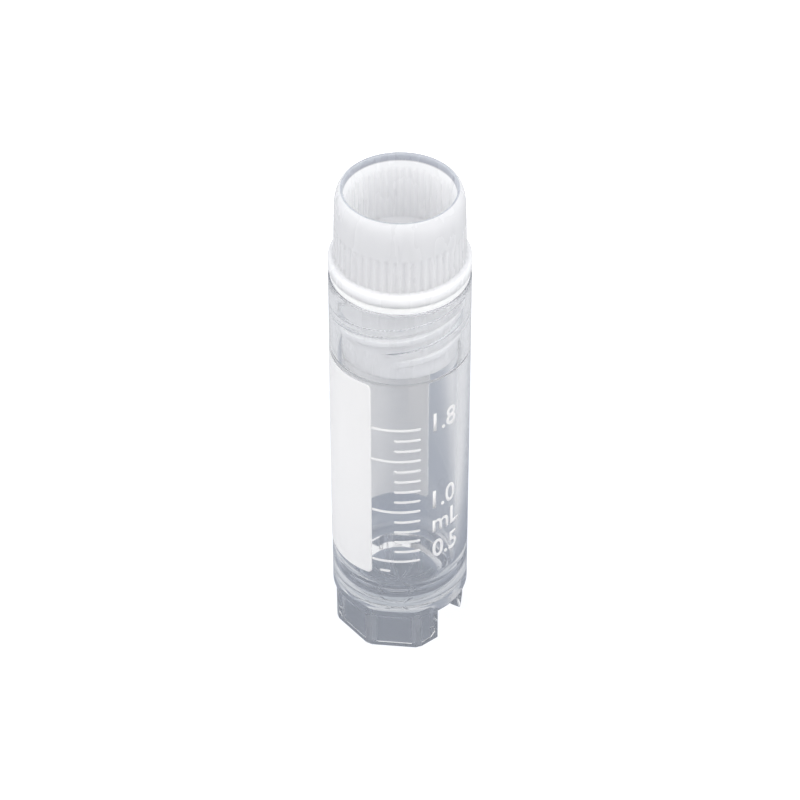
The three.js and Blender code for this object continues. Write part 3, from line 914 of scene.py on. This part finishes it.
def soft_light(name, place, size, power):
    """A square area light aimed at the vial, in metres and watts. The lamp itself isn't seen in
    gloss or through the plastic."""
    lamp = bpy.data.lights.new(name, "AREA")
    lamp.size = size
    lamp.energy = power
    light = bpy.data.objects.new(name, lamp)
    bpy.context.scene.collection.objects.link(light)
    light.location = place
    light.visible_transmission = False
    light.visible_glossy = False
    way = Vector(LIGHT_TARGET) - Vector(place)
    light.rotation_euler = way.to_track_quat("-Z", "Y").to_euler()


def studio_camera():
    """A long lens from the front, well above the vial."""
    elevation = math.radians(CAMERA_ELEVATION)
    lens = bpy.data.cameras.new("studio_camera")
    lens.lens = CAMERA_LENS
    lens.sensor_width = CAMERA_SENSOR
    lens.shift_y = CAMERA_SHIFT
    lens.clip_start = 0.01
    camera = bpy.data.objects.new("studio_camera", lens)
    bpy.context.scene.collection.objects.link(camera)
    camera.location = (0, -CAMERA_DISTANCE * math.cos(elevation),
                       CAMERA_TARGET_HEIGHT + CAMERA_DISTANCE * math.sin(elevation))
    camera.rotation_euler = (math.pi / 2 - elevation, 0, 0)
    bpy.context.scene.camera = camera


# ---------------------------------------------------------------- the vial


def dress(piece, material, body, slot, *nodes):
    """Gives a piece its material and body, and lets it stand for CAD nodes, which it hides. The slot
    is not used.
    """
    piece.data.materials.clear()
    piece.data.materials.append(material)
    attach(piece, body)
    if nodes:
        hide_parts(*nodes)


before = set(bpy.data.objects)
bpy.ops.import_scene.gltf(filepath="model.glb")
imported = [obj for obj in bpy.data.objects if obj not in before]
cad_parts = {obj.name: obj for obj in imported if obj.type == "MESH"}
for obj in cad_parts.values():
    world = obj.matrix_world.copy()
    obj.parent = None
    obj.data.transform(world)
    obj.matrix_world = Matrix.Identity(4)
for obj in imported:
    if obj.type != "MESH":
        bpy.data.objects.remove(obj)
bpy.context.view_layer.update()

moulded_skin_group()
tint_group()
clear_plastic = finish(
    "clear_tube_plastic", (0.988, 0.99, 0.993), (0.982, 0.985, 0.99),
    {"Smoothest": 0.02, "Roughest": 0.06, "Grain": 6000.0, "Draw Marks": 0.5},
    bump=0.05, plain={"Transmission Weight": 1.0, "IOR": 1.49})
frosted_corners(clear_plastic, roughness=0.9)
absorbing(clear_plastic, density=5.0, colour=(0.38, 0.41, 0.44))
open_to_lamps(clear_plastic, tint=(0.99, 0.992, 0.995))
milky_plastic = finish(
    "milky_cap_plastic", (0.92, 0.92, 0.935), (0.89, 0.89, 0.905),
    {"Smoothest": 0.22, "Roughest": 0.34, "Grain": 9000.0, "Draw Marks": 0.4},
    bump=0.12, plain=scattering(ior=1.49, depth=0.0022))
# Painted light and shade on the cap: a lighter flange, a dark lip and a lighter recess.
paint_cap_light_and_shade(milky_plastic)
white_silicone = finish(
    "white_silicone", (0.87, 0.87, 0.86), (0.85, 0.85, 0.84),
    {"Smoothest": 0.45, "Roughest": 0.6, "Grain": 12000.0, "Draw Marks": 0.0},
    bump=0.15, plain=scattering(ior=1.41, depth=0.0006))
white_print = finish(
    "white_print", (0.77, 0.76, 0.755), (0.755, 0.745, 0.74),
    {"Smoothest": 0.4, "Roughest": 0.58, "Grain": 14000.0, "Draw Marks": 0.1},
    bump=0.2, plain=scattering(ior=1.5, depth=0.0001))

line_nodes = sorted(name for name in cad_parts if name.startswith("scale_line_"))
dress(moulded_tube(), clear_plastic, "tube", "tube_plastic", "vial_tube")
dress(moulded_cap(), milky_plastic, "cap", "cap_plastic", "screw_cap")
dress(sealing_ring(), white_silicone, "washer", "washer_silicone", "sealing_washer")
patch = printed("writing_field", [field_grid(*PATCH_AZIMUTHS, *PATCH_HEIGHTS, PATCH_ROUNDING)])
dress(patch, white_print, "tube", "white_ink", "writing_patch")
dress(scale_lines(), white_print, "tube", "white_ink", *line_nodes)
dress(scale_figures(), white_print, "tube", "white_ink")

# The near colour is the floor's painted shadow under and behind the vial.
wide_floor(floor_with_painted_shadow(near=(0.245, 0.265, 0.31), far=(0.53, 0.535, 0.55), lift=0.80,
                          in_gloss=0.1, through_clear=0.03))
pale_world(behind=(0.52, 0.55, 0.595), through_clear=0.55)
for light_values in LIGHTS:
    soft_light(*light_values)
studio_camera()
bpy.context.scene.view_settings.view_transform = "Standard"
